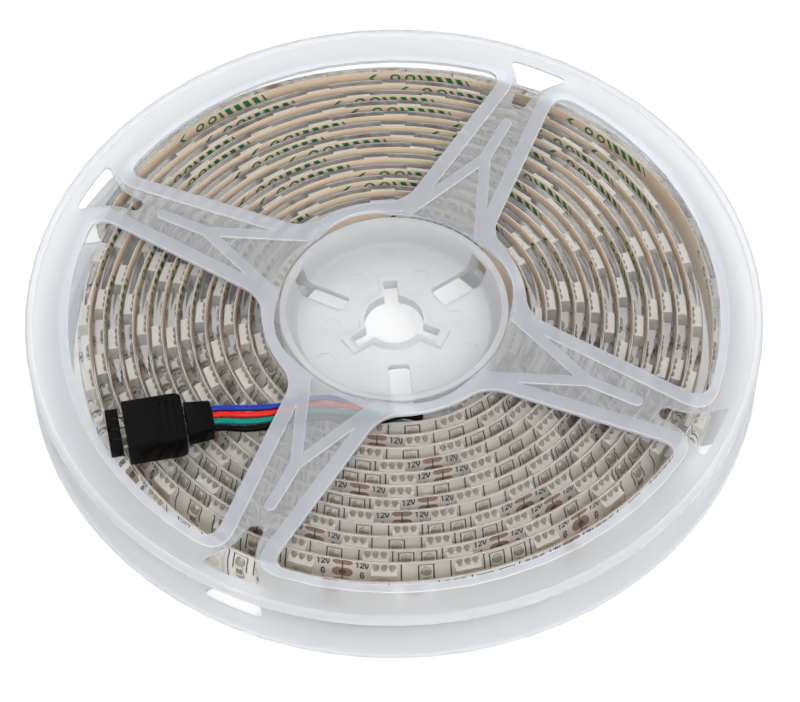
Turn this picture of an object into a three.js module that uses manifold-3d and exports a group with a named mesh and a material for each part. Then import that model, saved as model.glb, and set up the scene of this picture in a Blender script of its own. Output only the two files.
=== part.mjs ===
// Reel of coated LED strip light: two moulded flanges, a wound strip with its paper liner,
// and a four-wire lead that ends in a small socket with a pin header pushed into it.
// Millimetres, +Z up. The origin is on the reel's axis, in the plane that it lies on.
import * as THREE from 'three';
import { mergeVertices } from 'three/addons/utils/BufferGeometryUtils.js';
import Module from 'manifold-3d';

const wasm = await Module();
wasm.setup();

const degrees = THREE.MathUtils.degToRad;

// Flanges
const FLANGE_RADIUS = 77;
const WEB_THICKNESS = 0.7;
const BORDER_RISE = 0.35;
const LIP_WIDTH = 1.6;
const LIP_CHAMFER = 0.45;
const LIP_OVERHANG = 0.15;
const BOTTOM_LIP_REACH = 0.7;
const TOP_LIP_REACH = 1.1;
const FLANGE_GAP = 11.4;

// Spokes and the four windows between them
const SPOKE_COUNT = 4;
const SPOKE_ANGLE = 63.1;
const WINDOW_HUB_MARGIN = 3.8;
const WINDOW_RIM_MARGIN = 8.8;
const SPOKE_ROOT_HALF_WIDTH = 10.1;
const SPOKE_TIP_HALF_WIDTH = 6.3;
const WINDOW_CORNER = 4.5;
const BORDER_SIDE_WIDTH = 3.1;
const BORDER_RIM_WIDTH = 1.8;
const BORDER_HUB_WIDTH = 3.2;

// Raised Y on each spoke, and the flared hole at the spoke's outer end
const STEM_HALF_WIDTH = 1.2;
const STEM_HOLE_GAP = 3.8;
const FORK_POINT = 44.5;
const FORK_SPREAD = 8.3;
const ARM_HALF_WIDTH = 1.2;
const HOLE_LENGTH = 12.8;
const HOLE_NECK_RADIUS = 1.7;
const HOLE_RIM_MARGIN = 3.8;
const HOLE_HALF_WIDTH = 6.5;
const HOLE_CORNER = 1.6;

// Hub, moulded with the bottom flange
const HUB_RADIUS = 24;
const HUB_HEIGHT = 13.2;
const HUB_RIM_WALL = 1.6;
const HUB_DRAFT = 1.2;
const HUB_FLOOR_TOP = 7.8;
const HUB_FLOOR_THICKNESS = 1.5;
const HUB_FLOOR_FILLET = 0.8;
const HUB_TURN = 4.4;
const BORE_CLEARANCE = 0.3;
const CRESCENT_DEPTH = 1.4;
const CENTRE_HOLE_RADIUS = 6.25;
const COLLAR_WALL = 1.15;
const COLLAR_RISE = 1.1;
const KEYWAY_HALF_WIDTH = 1.5;
const KEYWAY_REACH = 10;
const KEYWAY_BOSS_WALL = 0.9;
const KEYWAY_BOSS_REACH = 11.9;
const SLOT_INNER_RADIUS = 11.1;
const SLOT_CORNER = 0.8;
const SLOT_BRIDGE = 1;
const SLOT_WIDTHS = [5.2, 3.7, 4.4];
const SLOT_TURN = 30;
const PIN_MARK_RADIUS = 2;
const PIN_MARK_DEPTH = 0.2;
const PIN_MARK_INNER_CIRCLE = 13;
const PIN_MARK_OUTER_CIRCLE = 17.5;

// Wound strip and its liner
const STRIP_WIDTH = 9.8;
const STRIP_THICKNESS = 2.25;
const STRIP_EDGE_THICKNESS = 1.0;
const STRIP_SHOULDER = 2.3;
const LINER_THICKNESS = 0.2;
const LINER_GAP = 0.25;
const ROLL_SEAT_GAP = 0.15;
const ROLL_HUB_GAP = 1.2;
const ROLL_START_ANGLE = 296;
const ROLL_END_ANGLE = 157;
const ROLL_RIM_MARGIN = 9.5;
const TURN_PITCH = 3.04;
const LINER_OVERRUN = 1.2;
const LOOSE_GAP = 0.5;
const LOOSE_BULGES = [
  { at: 245, spread: 35, rise: 1.4 },
  { at: 335, spread: 35, rise: 1.2 },
  { at: 25, spread: 18, rise: 1.2 },
  { at: 122, spread: 18, rise: 0.8 },
];

// Lead: four wires from the strip's inner end to the socket
const WIRE_DIAMETER = 1.3;
const WIRE_SIDES = 8;
const WIRE_STEPS = 30;
const WIRE_GAP = 0.3;
const SLEEVE_THICKNESS = 2.5;
const SLEEVE_END_ANGLE = 282.4;

// Socket on the lead, in its own frame: length along x, from the header to the wires
const SOCKET_HUB_DISTANCE = 33.73;
const SOCKET_ANGLE = 212.66;
const SOCKET_TURN = 10.5;
const SOCKET_BASE = 11.65;
const SOCKET_LENGTH = 12.1;
const SOCKET_WIDTH = 11.7;
const SOCKET_HEIGHT = 5.95;
const SOCKET_CORNER = 1.6;
const SOCKET_TIP_CORNER = 0.35;
const GRIP_COUNT = 3;
const GRIP_PITCH = 1.5;
const GRIP_WIDTH = 0.45;
const GRIP_DEPTH = 0.3;
const GRIP_LENGTH = 8.6;
const GRIP_START = 2;
const BOOT_LENGTH = 5.4;
const BOOT_WIDTH = 8;
const BOOT_TIP_WIDTH = 7;
const BOOT_HEIGHT = 4.1;
const BOOT_BASE = 0.75;
const BOOT_GAP = 0.3;
const HEADER_LENGTH = 2.6;
const HEADER_WIDTH = 10.16;
const HEADER_HEIGHT = 2.5;
const HEADER_STANDOFF = 0.95;
const HEADER_BASE = 2.45;
const PIN_COUNT = 4;
const PIN_PITCH = 2.54;
const PIN_SIZE = 0.64;
const PIN_DEPTH = 4;
const PIN_CLEARANCE = 0.3;

// Heights and radii that follow
const BOTTOM_FACE = BOTTOM_LIP_REACH + WEB_THICKNESS;
const TOP_FACE = BOTTOM_FACE + FLANGE_GAP;
const ROLL_BASE = BOTTOM_FACE + ROLL_SEAT_GAP;
const WINDOW_INNER_RADIUS = HUB_RADIUS + WINDOW_HUB_MARGIN;
const WINDOW_OUTER_RADIUS = FLANGE_RADIUS - WINDOW_RIM_MARGIN;
const HOLE_OUTER_RADIUS = FLANGE_RADIUS - HOLE_RIM_MARGIN;
const HOLE_APEX = HOLE_OUTER_RADIUS - HOLE_LENGTH;
const STEM_TIP = HOLE_APEX - STEM_HOLE_GAP;
const BORE_RADIUS = HUB_RADIUS + BORE_CLEARANCE;
const HUB_INNER_RADIUS = HUB_RADIUS - HUB_RIM_WALL;
const ROLL_START_RADIUS = HUB_RADIUS + ROLL_HUB_GAP;
const FULL_TURNS = Math.floor((FLANGE_RADIUS - ROLL_RIM_MARGIN - ROLL_START_RADIUS) / TURN_PITCH);
const ROLL_SWEEP = FULL_TURNS * 360 + ((ROLL_END_ANGLE - ROLL_START_ANGLE + 360) % 360);

const ROUND_STEPS = 72;
const SPIRAL_STEP = 12;

// Solids: a closed mesh becomes a manifold, and a manifold becomes a mesh again.

function toManifold(geometry) {
  const plain = geometry.index ? geometry.toNonIndexed() : geometry.clone();
  plain.deleteAttribute('normal');
  plain.deleteAttribute('uv');
  const merged = mergeVertices(plain, 1e-4);
  return new wasm.Manifold(new wasm.Mesh({
    numProp: 3,
    vertProperties: new Float32Array(merged.attributes.position.array),
    triVerts: new Uint32Array(merged.index.array),
  }));
}

function toGeometry(manifold) {
  const mesh = manifold.getMesh();
  const geometry = new THREE.BufferGeometry();
  geometry.setAttribute('position', new THREE.BufferAttribute(new Float32Array(mesh.vertProperties), 3));
  geometry.setIndex(new THREE.BufferAttribute(new Uint32Array(mesh.triVerts), 1));
  geometry.computeVertexNormals();
  return geometry;
}

function joined(manifolds) {
  return manifolds.reduce((whole, next) => whole.add(next));
}

function prism(shape, low, high, curveSegments = 8) {
  const geometry = new THREE.ExtrudeGeometry(shape, { depth: high - low, bevelEnabled: false, curveSegments });
  return geometry.translate(0, 0, low);
}

// Turns a closed profile of (radius, height) points, listed counter-clockwise, about the Z axis.
function turned(profile, steps = ROUND_STEPS) {
  const points = [...profile, profile[0]].map(([radius, height]) => new THREE.Vector2(radius, height));
  return new THREE.LatheGeometry(points, steps).rotateX(Math.PI / 2);
}

function mirroredInHeight(manifold, height) {
  return manifold.mirror([0, 0, 1]).translate([0, 0, height]);
}

function polar(radius, angle) {
  return new THREE.Vector2(radius * Math.cos(degrees(angle)), radius * Math.sin(degrees(angle)));
}

function material(color, roughness, opacity = 1) {
  return new THREE.MeshStandardMaterial({ color, roughness, metalness: 0, opacity, transparent: opacity < 1 });
}

// Outlines

// Half the width of a spoke at a distance from the axis.
function spokeHalfWidth(distance) {
  const run = (distance - WINDOW_INNER_RADIUS) / (WINDOW_OUTER_RADIUS - WINDOW_INNER_RADIUS);
  return SPOKE_ROOT_HALF_WIDTH + (SPOKE_TIP_HALF_WIDTH - SPOKE_ROOT_HALF_WIDTH) * run;
}

// A point beside a spoke: the distance from the axis, and the side margin added to the window.
function besideSpoke(radius, margin, spokeAngle, side) {
  const across = spokeHalfWidth(radius) - margin;
  return polar(radius, spokeAngle + side * THREE.MathUtils.radToDeg(Math.asin(across / radius)));
}

// The outline of the window that follows a spoke, grown by a margin on each side.
function windowOutline(spokeAngle, sideMargin = 0, rimMargin = 0, hubMargin = 0) {
  const next = spokeAngle + 360 / SPOKE_COUNT;
  const inner = WINDOW_INNER_RADIUS - hubMargin;
  const outer = WINDOW_OUTER_RADIUS + rimMargin;
  const corner = WINDOW_CORNER + sideMargin / 2;
  const arcPoint = (radius, spoke, side) => {
    const edge = besideSpoke(radius, sideMargin, spoke, side);
    const turn = side * THREE.MathUtils.radToDeg(corner / radius);
    return polar(radius, THREE.MathUtils.radToDeg(edge.angle()) + turn);
  };
  const path = new THREE.Shape();
  const start = besideSpoke(inner + corner, sideMargin, spokeAngle, 1);
  path.moveTo(start.x, start.y);
  const sideEnd = besideSpoke(outer - corner, sideMargin, spokeAngle, 1);
  path.lineTo(sideEnd.x, sideEnd.y);
  const cornerA = besideSpoke(outer, sideMargin, spokeAngle, 1);
  const rimStart = arcPoint(outer, spokeAngle, 1);
  path.quadraticCurveTo(cornerA.x, cornerA.y, rimStart.x, rimStart.y);
  const rimEnd = arcPoint(outer, next, -1);
  path.absarc(0, 0, outer, rimStart.angle(), rimEnd.angle() + (rimEnd.angle() < rimStart.angle() ? 2 * Math.PI : 0));
  const cornerB = besideSpoke(outer, sideMargin, next, -1);
  const downStart = besideSpoke(outer - corner, sideMargin, next, -1);
  path.quadraticCurveTo(cornerB.x, cornerB.y, downStart.x, downStart.y);
  const downEnd = besideSpoke(inner + corner, sideMargin, next, -1);
  path.lineTo(downEnd.x, downEnd.y);
  const cornerC = besideSpoke(inner, sideMargin, next, -1);
  const hubStart = arcPoint(inner, next, -1);
  path.quadraticCurveTo(cornerC.x, cornerC.y, hubStart.x, hubStart.y);
  const hubEnd = arcPoint(inner, spokeAngle, 1);
  const unwrapped = hubStart.angle() + (hubStart.angle() < hubEnd.angle() ? 2 * Math.PI : 0);
  path.absarc(0, 0, inner, unwrapped, hubEnd.angle(), true);
  const cornerD = besideSpoke(inner, sideMargin, spokeAngle, 1);
  path.quadraticCurveTo(cornerD.x, cornerD.y, start.x, start.y);
  return path;
}

// The hole at a spoke's outer end: a round neck towards the hub that flares to two corners.
function flaredHole() {
  const neck = HOLE_APEX + HOLE_NECK_RADIUS;
  const cornerAngle = Math.asin(HOLE_HALF_WIDTH / HOLE_OUTER_RADIUS);
  const cornerTurn = HOLE_CORNER / HOLE_OUTER_RADIUS;
  const cornerX = HOLE_OUTER_RADIUS * Math.cos(cornerAngle);
  const path = new THREE.Shape();
  path.moveTo(neck, HOLE_NECK_RADIUS);
  path.absarc(neck, 0, HOLE_NECK_RADIUS, Math.PI / 2, 1.5 * Math.PI);
  path.quadraticCurveTo(neck + 5, -HOLE_NECK_RADIUS, cornerX - HOLE_CORNER, -HOLE_HALF_WIDTH + 0.6);
  const low = polar(HOLE_OUTER_RADIUS, THREE.MathUtils.radToDeg(-cornerAngle + cornerTurn));
  path.quadraticCurveTo(cornerX, -HOLE_HALF_WIDTH - 0.5, low.x, low.y);
  path.absarc(0, 0, HOLE_OUTER_RADIUS, -cornerAngle + cornerTurn, cornerAngle - cornerTurn);
  path.quadraticCurveTo(cornerX, HOLE_HALF_WIDTH + 0.5, cornerX - HOLE_CORNER, HOLE_HALF_WIDTH - 0.6);
  path.quadraticCurveTo(neck + 5, HOLE_NECK_RADIUS, neck, HOLE_NECK_RADIUS);
  return path;
}

// A straight bar with round ends between two points.
function barOutline(from, to, halfWidth) {
  const along = Math.atan2(to.y - from.y, to.x - from.x);
  const path = new THREE.Shape();
  path.absarc(from.x, from.y, halfWidth, along + Math.PI / 2, along + 1.5 * Math.PI);
  path.absarc(to.x, to.y, halfWidth, along - Math.PI / 2, along + Math.PI / 2);
  path.closePath();
  return path;
}

// The bore of the top flange touches the hub at the spokes and stands off it in between.
function boreOutline() {
  const path = new THREE.Path();
  for (let step = 0; step < ROUND_STEPS; step += 1) {
    const angle = (step * 360) / ROUND_STEPS;
    const swell = Math.max(0, -Math.cos(degrees(SPOKE_COUNT * (angle - SPOKE_ANGLE))));
    const point = polar(BORE_RADIUS + CRESCENT_DEPTH * swell, angle);
    path[step ? 'lineTo' : 'moveTo'](point.x, point.y);
  }
  path.closePath();
  return path;
}

function circleOutline(radius, centre = new THREE.Vector2()) {
  return new THREE.Shape().absarc(centre.x, centre.y, radius, 0, 2 * Math.PI);
}

// Flanges

function spokeAngles() {
  return Array.from({ length: SPOKE_COUNT }, (_, index) => SPOKE_ANGLE + (index * 360) / SPOKE_COUNT);
}

// One flange, its inner face at height 0 and its outside above it.
function flangeSolid(lipReach, bore) {
  const disc = circleOutline(FLANGE_RADIUS - LIP_WIDTH / 2);
  disc.holes.push(bore);
  const raised = WEB_THICKNESS + BORDER_RISE;
  const pieces = [toManifold(prism(disc, 0, WEB_THICKNESS, ROUND_STEPS / 2))];
  const inside = FLANGE_RADIUS - LIP_WIDTH;
  const top = WEB_THICKNESS + lipReach;
  pieces.push(toManifold(turned([
    [inside, -LIP_OVERHANG],
    [FLANGE_RADIUS - LIP_CHAMFER / 2, -LIP_OVERHANG],
    [FLANGE_RADIUS, LIP_CHAMFER / 2 - LIP_OVERHANG],
    [FLANGE_RADIUS, top - LIP_CHAMFER],
    [FLANGE_RADIUS - LIP_CHAMFER, top],
    [inside + LIP_CHAMFER, top],
    [inside, top - LIP_CHAMFER],
  ])));
  const cuts = [];
  spokeAngles().forEach((angle) => {
    const border = windowOutline(angle, BORDER_SIDE_WIDTH, BORDER_RIM_WIDTH, BORDER_HUB_WIDTH);
    pieces.push(toManifold(prism(border, 0, raised, 6)));
    cuts.push(toManifold(prism(windowOutline(angle), -1, raised + 1, 6)));
    const fork = new THREE.Vector2(FORK_POINT, 0);
    const tip = new THREE.Vector2(STEM_TIP - STEM_HALF_WIDTH, 0);
    pieces.push(toManifold(prism(barOutline(fork, tip, STEM_HALF_WIDTH), 0, raised, 4).rotateZ(degrees(angle))));
    [1, -1].forEach((side) => {
      const foot = new THREE.Vector2(BORE_RADIUS, side * FORK_SPREAD);
      const arm = barOutline(foot, fork, ARM_HALF_WIDTH);
      pieces.push(toManifold(prism(arm, 0, raised, 4).rotateZ(degrees(angle))));
    });
    cuts.push(toManifold(prism(flaredHole(), -1, raised + 1, 5).rotateZ(degrees(angle))));
  });
  const boreCut = toManifold(prism(new THREE.Shape(bore.getPoints()), -1, raised + 1));
  return joined(pieces).subtract(joined([...cuts, boreCut]));
}

function topFlange() {
  return flangeSolid(TOP_LIP_REACH, boreOutline()).translate([0, 0, TOP_FACE]);
}

// The hub's wall and floor as one turned profile.
function hubSolid() {
  const floorBottom = HUB_FLOOR_TOP - HUB_FLOOR_THICKNESS;
  const floorRadius = HUB_INNER_RADIUS - HUB_DRAFT;
  return toManifold(turned([
    [0, floorBottom],
    [HUB_INNER_RADIUS, floorBottom],
    [HUB_INNER_RADIUS, 0],
    [HUB_RADIUS, 0],
    [HUB_RADIUS, HUB_HEIGHT - 0.2],
    [HUB_RADIUS - 0.2, HUB_HEIGHT],
    [HUB_INNER_RADIUS + 0.2, HUB_HEIGHT],
    [HUB_INNER_RADIUS, HUB_HEIGHT - 0.2],
    [floorRadius, HUB_FLOOR_TOP + HUB_FLOOR_FILLET],
    [floorRadius - HUB_FLOOR_FILLET, HUB_FLOOR_TOP],
    [0, HUB_FLOOR_TOP],
  ]));
}

function thirds(offset = 0) {
  return [0, 1, 2].map((index) => HUB_TURN + offset + index * 120);
}

// The centre hole's or its collar's outline: a circle with three keyways.
function keyedPrism(radius, halfWidth, reach, low, high) {
  const round = toManifold(prism(circleOutline(radius), low, high, 18));
  const keys = thirds(90).map((angle) => {
    const key = new THREE.BoxGeometry(reach, 2 * halfWidth, high - low);
    key.translate(reach / 2, 0, (low + high) / 2);
    return toManifold(key.rotateZ(degrees(angle)));
  });
  return joined([round, ...keys]);
}

function slotCuts() {
  const top = HUB_HEIGHT - SLOT_BRIDGE;
  const low = HUB_FLOOR_TOP - HUB_FLOOR_THICKNESS - 0.5;
  return thirds(SLOT_TURN).map((angle, index) => {
    const half = SLOT_WIDTHS[index] / 2;
    const path = new THREE.Shape();
    path.moveTo(HUB_RADIUS + 1, -half);
    path.lineTo(HUB_RADIUS + 1, half);
    path.lineTo(SLOT_INNER_RADIUS + SLOT_CORNER, half);
    path.absarc(SLOT_INNER_RADIUS + SLOT_CORNER, half - SLOT_CORNER, SLOT_CORNER, Math.PI / 2, Math.PI);
    path.absarc(SLOT_INNER_RADIUS + SLOT_CORNER, SLOT_CORNER - half, SLOT_CORNER, Math.PI, 1.5 * Math.PI);
    path.closePath();
    return toManifold(prism(path, low, top, 3).rotateZ(degrees(angle)));
  });
}

// Shallow round dents that the mould's ejector pins leave in the floor.
function pinMarks() {
  const inner = [0, 1, 2, 3, 4, 5].map((index) => polar(PIN_MARK_INNER_CIRCLE, HUB_TURN + index * 60));
  const outer = thirds(90).map((angle) => polar(PIN_MARK_OUTER_CIRCLE, angle));
  return [...inner, ...outer].map((centre) => {
    const dent = circleOutline(PIN_MARK_RADIUS, centre);
    return toManifold(prism(dent, HUB_FLOOR_TOP - PIN_MARK_DEPTH, HUB_FLOOR_TOP + 1, 8));
  });
}

function bottomFlange() {
  const bore = new THREE.Path().absarc(0, 0, HUB_INNER_RADIUS, 0, 2 * Math.PI);
  const disc = mirroredInHeight(flangeSolid(BOTTOM_LIP_REACH, bore), BOTTOM_FACE);
  const floorLow = HUB_FLOOR_TOP - HUB_FLOOR_THICKNESS;
  const collarHigh = HUB_FLOOR_TOP + COLLAR_RISE;
  const collar = keyedPrism(
    CENTRE_HOLE_RADIUS + COLLAR_WALL,
    KEYWAY_HALF_WIDTH + KEYWAY_BOSS_WALL,
    KEYWAY_BOSS_REACH,
    floorLow,
    collarHigh,
  );
  const hole = keyedPrism(CENTRE_HOLE_RADIUS, KEYWAY_HALF_WIDTH, KEYWAY_REACH, floorLow - 1, collarHigh + 1);
  const hub = joined([hubSolid(), collar]).subtract(joined([hole, ...slotCuts(), ...pinMarks()]));
  return joined([disc, hub]);
}

// Wound strip

// How far the last turn has sprung away from the roll, in millimetres, by angle.
function looseness(angle) {
  const sinceEnd = ROLL_START_ANGLE + ROLL_SWEEP - angle;
  if (sinceEnd > 360) {
    return 0;
  }
  const onset = THREE.MathUtils.smoothstep(360 - sinceEnd, 25, 80);
  const bulge = ({ at, spread, rise }) => {
    const apart = ((((angle - at) % 360) + 540) % 360) - 180;
    return rise * Math.exp(-((apart / spread) ** 2));
  };
  return onset * LOOSE_BULGES.reduce((total, each) => total + bulge(each), LOOSE_GAP);
}

function spiralRadius(angle) {
  return ROLL_START_RADIUS + (TURN_PITCH * (angle - ROLL_START_ANGLE)) / 360 + looseness(angle);
}

// Sweeps a closed profile along the spiral. The profile's points are the distance outward from
// the spiral and the height above the strip's lower edge, listed counter-clockwise.
function sweptBand(profile, overrun = 0) {
  const last = ROLL_START_ANGLE + ROLL_SWEEP;
  const steps = Math.round(ROLL_SWEEP / SPIRAL_STEP);
  const sides = profile.length;
  const positions = [];
  for (let step = 0; step <= steps; step += 1) {
    const angle = ROLL_START_ANGLE + (step * ROLL_SWEEP) / steps;
    const turn = step === steps ? last + overrun : angle;
    profile.forEach(([outward, height]) => {
      const flat = polar(spiralRadius(angle) + outward, turn);
      positions.push(flat.x, flat.y, ROLL_BASE + height);
    });
  }
  const faces = [];
  for (let step = 0; step < steps; step += 1) {
    for (let side = 0; side < sides; side += 1) {
      const here = step * sides + side;
      const next = step * sides + ((side + 1) % sides);
      faces.push(here, next + sides, next, here, here + sides, next + sides);
    }
  }
  const outline = profile.map((point) => new THREE.Vector2(...point));
  THREE.ShapeUtils.triangulateShape(outline, []).forEach(([a, b, c]) => {
    faces.push(a, b, c);
    faces.push(steps * sides + a, steps * sides + c, steps * sides + b);
  });
  const geometry = new THREE.BufferGeometry();
  geometry.setAttribute('position', new THREE.Float32BufferAttribute(positions, 3));
  geometry.setIndex(faces);
  geometry.computeVertexNormals();
  return geometry;
}

// The coated strip: flat against the liner, and domed outward over its LEDs.
function stripRoll() {
  const inside = LINER_THICKNESS + LINER_GAP;
  const edge = inside + STRIP_EDGE_THICKNESS;
  const crest = inside + STRIP_THICKNESS;
  return sweptBand([
    [inside, 0],
    [edge, 0],
    [crest, STRIP_SHOULDER],
    [crest, STRIP_WIDTH - STRIP_SHOULDER],
    [edge, STRIP_WIDTH],
    [inside, STRIP_WIDTH],
  ]);
}

function releaseLiner() {
  return sweptBand([
    [0, 0],
    [LINER_THICKNESS, 0],
    [LINER_THICKNESS, STRIP_WIDTH],
    [0, STRIP_WIDTH],
  ], LINER_OVERRUN);
}

// Clear sleeve shrunk over the soldered wires at the strip's inner end.
function solderSleeve() {
  const middle = ROLL_START_RADIUS + LINER_THICKNESS + LINER_GAP + STRIP_THICKNESS / 2;
  const gapAngle = THREE.MathUtils.radToDeg(WIRE_GAP / middle);
  const from = degrees(SLEEVE_END_ANGLE);
  const to = degrees(ROLL_START_ANGLE - gapAngle);
  const path = new THREE.Shape();
  path.absarc(0, 0, middle - SLEEVE_THICKNESS / 2, from, to);
  path.absarc(0, 0, middle + SLEEVE_THICKNESS / 2, to, from, true);
  path.closePath();
  return prism(path, ROLL_BASE, ROLL_BASE + STRIP_WIDTH, 4);
}

// Lead. Each wire's route is chosen by hand, as distance from the hub's wall, angle about the
// axis and height. It leaves the sleeve beside the hub, climbs onto the roll and runs under a
// spoke to the socket.
const WIRE_ROUTES = {
  wire_blue: [
    [2.65, 282.1, 2.9], [2.59, 277.8, 3], [2.24, 273.1, 3.5], [1.78, 267.3, 4.6],
    [1.42, 260.9, 6.2], [1.34, 254, 8.2], [1.42, 247.3, 10.1], [1.81, 241.8, 11.4],
    [2.95, 237.2, 12.02], [4.92, 232.5, 12.08], [6.86, 229.6, 12.08], [8.93, 226.9, 12.08],
    [10.93, 224.3, 12.08], [12.97, 221.7, 12.08], [15.05, 219.3, 12.2], [17.14, 217.6, 12.75],
    [19.07, 216.6, 13.6], [20.66, 215.8, 14.2], [21.79, 215.2, 14.4],
  ],
  wire_red: [
    [2.65, 282.1, 5.3], [2.64, 277.8, 5.4], [2.38, 272.6, 6], [2.15, 266.5, 7.3], [2.12, 260.3, 9],
    [2.15, 254.5, 10.7], [2.5, 249.7, 11.75], [3.11, 245.1, 12.08], [4.25, 239.3, 12.08],
    [6.13, 234.3, 12.08], [8.02, 231.3, 12.08], [10.04, 228.6, 12.08], [12.03, 226.1, 12.08],
    [14.09, 223.6, 12.08], [16.15, 221.2, 12.2], [18.2, 219.4, 12.75], [19.96, 218.3, 13.6],
    [21.42, 217.6, 14.2], [22.48, 217, 14.4],
  ],
  wire_green: [
    [2.65, 282.1, 7.8], [2.69, 277.8, 8.1], [2.65, 273.4, 8.9], [2.76, 268.7, 10.3],
    [2.98, 264.5, 11.5], [3.14, 260.2, 12.05], [3.61, 254.5, 12.08], [4.52, 247.5, 12.08],
    [5.63, 240.9, 12.08], [7.44, 236, 12.08], [9.28, 233.1, 12.08], [11.22, 230.3, 12.08],
    [13.17, 227.7, 12.08], [15.24, 225.3, 12.08], [17.29, 223, 12.2], [19.23, 221.2, 12.75],
    [20.85, 220.1, 13.6], [22.18, 219.4, 14.2], [23.22, 218.8, 14.4],
  ],
  wire_black: [
    [2.65, 282.1, 10.2], [2.65, 279.1, 10.35], [2.65, 276, 11.1], [2.98, 272.5, 11.95],
    [3.82, 267.9, 12.08], [4.58, 262, 12.08], [5.11, 255.3, 12.08], [5.91, 248.6, 12.08],
    [7.04, 242.4, 12.08], [8.78, 237.5, 12.08], [10.53, 234.6, 12.08], [12.43, 231.9, 12.08],
    [14.36, 229.3, 12.08], [16.43, 227, 12.08], [18.46, 224.7, 12.2], [20.26, 222.9, 12.75],
    [21.75, 221.8, 13.6], [22.96, 221.1, 14.2], [23.99, 220.4, 14.4],
  ],
};

function wireGeometry(route) {
  const curve = new THREE.CatmullRomCurve3(route.map(([distance, angle, height]) => {
    const flat = polar(HUB_RADIUS + distance, angle);
    return new THREE.Vector3(flat.x, flat.y, height);
  }));
  const section = new THREE.Shape();
  for (let side = 0; side < WIRE_SIDES; side += 1) {
    const point = polar(WIRE_DIAMETER / 2, ((side + 0.5) * 360) / WIRE_SIDES);
    section[side ? 'lineTo' : 'moveTo'](point.x, point.y);
  }
  return new THREE.ExtrudeGeometry(section, { steps: WIRE_STEPS, extrudePath: curve });
}

// Socket, boot, header and pins, in the socket's own frame

function roundedPlan(left, right, halfLeft, halfRight, cornerLeft, cornerRight) {
  const path = new THREE.Shape();
  path.moveTo(left + cornerLeft, -halfLeft);
  path.lineTo(right - cornerRight, -halfRight);
  path.quadraticCurveTo(right, -halfRight, right, cornerRight - halfRight);
  path.lineTo(right, halfRight - cornerRight);
  path.quadraticCurveTo(right, halfRight, right - cornerRight, halfRight);
  path.lineTo(left + cornerLeft, halfLeft);
  path.quadraticCurveTo(left, halfLeft, left, halfLeft - cornerLeft);
  path.lineTo(left, cornerLeft - halfLeft);
  path.quadraticCurveTo(left, -halfLeft, left + cornerLeft, -halfLeft);
  return path;
}

function pinOffsets() {
  return Array.from({ length: PIN_COUNT }, (_, index) => (index - (PIN_COUNT - 1) / 2) * PIN_PITCH);
}

function socketBody() {
  const half = SOCKET_LENGTH / 2;
  const wide = SOCKET_WIDTH / 2;
  const plan = roundedPlan(-half, half, wide, wide, SOCKET_TIP_CORNER, SOCKET_CORNER);
  const block = toManifold(prism(plan, 0, SOCKET_HEIGHT, 5));
  const cuts = [];
  for (let index = 0; index < GRIP_COUNT; index += 1) {
    const groove = new THREE.BoxGeometry(GRIP_WIDTH, GRIP_LENGTH, 2 * GRIP_DEPTH);
    groove.translate(GRIP_START + index * GRIP_PITCH - GRIP_WIDTH, 0, SOCKET_HEIGHT);
    cuts.push(toManifold(groove));
  }
  pinOffsets().forEach((offset) => {
    const size = PIN_SIZE + 2 * PIN_CLEARANCE;
    const contact = new THREE.BoxGeometry(PIN_DEPTH + PIN_CLEARANCE + 1, size, size);
    contact.translate(-half - 1 + (PIN_DEPTH + PIN_CLEARANCE + 1) / 2, offset, HEADER_BASE + HEADER_HEIGHT / 2);
    cuts.push(toManifold(contact));
  });
  return toGeometry(block.subtract(joined(cuts)));
}

function socketBoot() {
  const start = SOCKET_LENGTH / 2 + BOOT_GAP;
  const plan = roundedPlan(start, start + BOOT_LENGTH, BOOT_WIDTH / 2, BOOT_TIP_WIDTH / 2, 0.1, 0.7);
  return prism(plan, BOOT_BASE, BOOT_BASE + BOOT_HEIGHT, 4);
}

function headerBlock() {
  const right = -SOCKET_LENGTH / 2 - HEADER_STANDOFF;
  const block = new THREE.BoxGeometry(HEADER_LENGTH, HEADER_WIDTH, HEADER_HEIGHT);
  block.translate(right - HEADER_LENGTH / 2, 0, HEADER_BASE + HEADER_HEIGHT / 2);
  const cuts = pinOffsets().map((offset) => {
    const size = PIN_SIZE + 2 * PIN_CLEARANCE;
    const seat = new THREE.BoxGeometry(HEADER_LENGTH, size, size);
    seat.translate(right - PIN_CLEARANCE, offset, HEADER_BASE + HEADER_HEIGHT / 2);
    return toManifold(seat);
  });
  const notches = pinOffsets().slice(1).flatMap((offset) => [0, HEADER_HEIGHT].map((height) => {
    const notch = new THREE.BoxGeometry(HEADER_LENGTH + 1, 0.5, 0.5).rotateX(Math.PI / 4);
    notch.translate(right - HEADER_LENGTH / 2, offset - PIN_PITCH / 2, HEADER_BASE + height);
    return toManifold(notch);
  }));
  return toGeometry(toManifold(block).subtract(joined([...cuts, ...notches])));
}

function headerPin(offset) {
  const inBlock = HEADER_LENGTH / 2;
  const length = inBlock + HEADER_STANDOFF + PIN_DEPTH;
  const pin = new THREE.BoxGeometry(length, PIN_SIZE, PIN_SIZE);
  const left = -SOCKET_LENGTH / 2 - HEADER_STANDOFF - inBlock;
  return pin.translate(left + length / 2, offset, HEADER_BASE + HEADER_HEIGHT / 2);
}

// Assembly

const reel = new THREE.Group();
const frosted = () => material(0xdfe3ea, 0.45, 0.6);
const black = () => material(0x151515, 0.5);

function place(parent, name, geometry, look) {
  const mesh = new THREE.Mesh(geometry, look);
  mesh.name = name;
  parent.add(mesh);
}

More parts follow.
